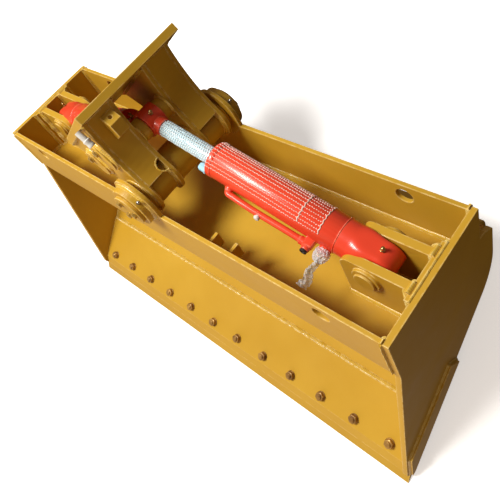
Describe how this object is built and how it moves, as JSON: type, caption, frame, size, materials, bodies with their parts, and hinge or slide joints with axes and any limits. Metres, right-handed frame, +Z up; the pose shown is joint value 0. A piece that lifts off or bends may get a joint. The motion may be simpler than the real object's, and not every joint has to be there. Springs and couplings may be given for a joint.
{
  "type": "hydraulic tilt bucket",
  "caption": "Wide ditching bucket with a trough on top, a tilting hanger with a blank mounting plate, and two hydraulic tilt cylinders.",
  "frame": {"origin": "middle of the cutting edge's ground face, with the bucket standing on its flat sole", "axes": "+X along the cutting edge to the bucket's right end, +Y from the cutting edge to the back, +Z up"},
  "size_m": [1.52, 1.0256, 0.7374],
  "materials": {
    "yellow_paint": "gloss, lightly worn",
    "red_paint": "gloss",
    "chrome": "polished",
    "pin_steel": "machined",
    "zinc_bolts": "painted over zinc",
    "edge_hardware": "thinly painted steel",
    "bronze": "machined",
    "pale_plastic": "smooth",
    "net_plastic": "knitted net"
  },
  "bodies": {
    "bucket": {"side_plate_left": "yellow_paint", "side_plate_right": "yellow_paint", "shell": "yellow_paint", "trough_floor": "yellow_paint", "front_wall": "yellow_paint", "rear_wall": "yellow_paint", "end_pads": "yellow_paint", "lug_left_front": "yellow_paint", "lug_left_rear": "yellow_paint", "lug_right_front": "yellow_paint", "lug_right_rear": "yellow_paint", "base_edge": "yellow_paint", "bolt_on_edge": "yellow_paint", "edge_bolts": "edge_hardware", "edge_nuts": "edge_hardware", "wear_strips": "yellow_paint", "side_cutters": "yellow_paint", "front_pivot_boss": "yellow_paint", "rear_pivot_boss": "yellow_paint", "tilt_pin": "pin_steel", "pin_end_caps": "yellow_paint", "end_cap_bolts": "zinc_bolts", "left_base_pin": "yellow_paint", "right_base_pin": "yellow_paint", "trough_brackets": "yellow_paint"},
    "hanger": {"mounting_plate": "yellow_paint", "front_outer_web": "yellow_paint", "front_inner_web": "yellow_paint", "rear_inner_web": "yellow_paint", "rear_outer_web": "yellow_paint", "front_box_sides": "yellow_paint", "rear_box_sides": "yellow_paint", "pivot_tube": "yellow_paint", "pivot_bushes": "bronze", "rod_pins": "yellow_paint", "rod_pin_bolts": "zinc_bolts", "hose_gusset": "yellow_paint", "front_spigot": "pale_plastic"},
    "left_barrel": {"left_barrel": "red_paint", "left_base_eye": "red_paint", "left_base_bush": "bronze", "left_gland": "red_paint", "left_feed_pipe": "red_paint", "left_port_caps": "pale_plastic"},
    "left_rod": {"left_piston": "pin_steel", "left_rod": "chrome", "left_rod_eye": "red_paint", "left_rod_bush": "bronze"},
    "right_barrel": {"right_barrel": "red_paint", "right_base_eye": "red_paint", "right_base_bush": "bronze", "right_gland": "red_paint", "right_feed_pipe": "red_paint", "right_port_caps": "pale_plastic", "net_sleeve": "net_plastic"},
    "right_rod": {"right_piston": "pin_steel", "right_rod": "chrome", "right_rod_eye": "red_paint", "right_rod_bush": "bronze"}
  },
  "joints": [
    {"name": "hanger_tilt", "type": "hinge", "parent": "bucket", "child": "hanger", "pos_m": [0, 0.63317, 0.43086], "axis": [0, 0.788, -0.6157], "range_deg": [0, 70]},
    {"name": "left_barrel_swing", "type": "hinge", "parent": "bucket", "child": "left_barrel", "pos_m": [-0.618, 0.5913, 0.37728], "axis": [0, 0.788, -0.6157], "range_deg": [-3.48, 0.2]},
    {"name": "left_rod_slide", "type": "slide", "parent": "left_barrel", "child": "left_rod", "axis": [0.9671, 0.1567, 0.2005], "range_m": [-0.0005, 0.1412]},
    {"name": "right_barrel_swing", "type": "hinge", "parent": "bucket", "child": "right_barrel", "pos_m": [0.618, 0.5913, 0.37728], "axis": [0, 0.788, -0.6157], "range_deg": [-0.34, 0.2]},
    {"name": "right_rod_slide", "type": "slide", "parent": "right_barrel", "child": "right_rod", "axis": [-0.9584, 0.1758, 0.225], "range_m": [-0.1455, 0.0005]}
  ],
  "couplings": [
    {"joint": "left_barrel_swing", "follows": "hanger_tilt", "ratio": -0.04688},
    {"joint": "left_rod_slide", "follows": "hanger_tilt", "m_per_rad": 0.11517},
    {"joint": "right_barrel_swing", "follows": "hanger_tilt", "ratio": -0.00201},
    {"joint": "right_rod_slide", "follows": "hanger_tilt", "m_per_rad": -0.11871}
  ]
}
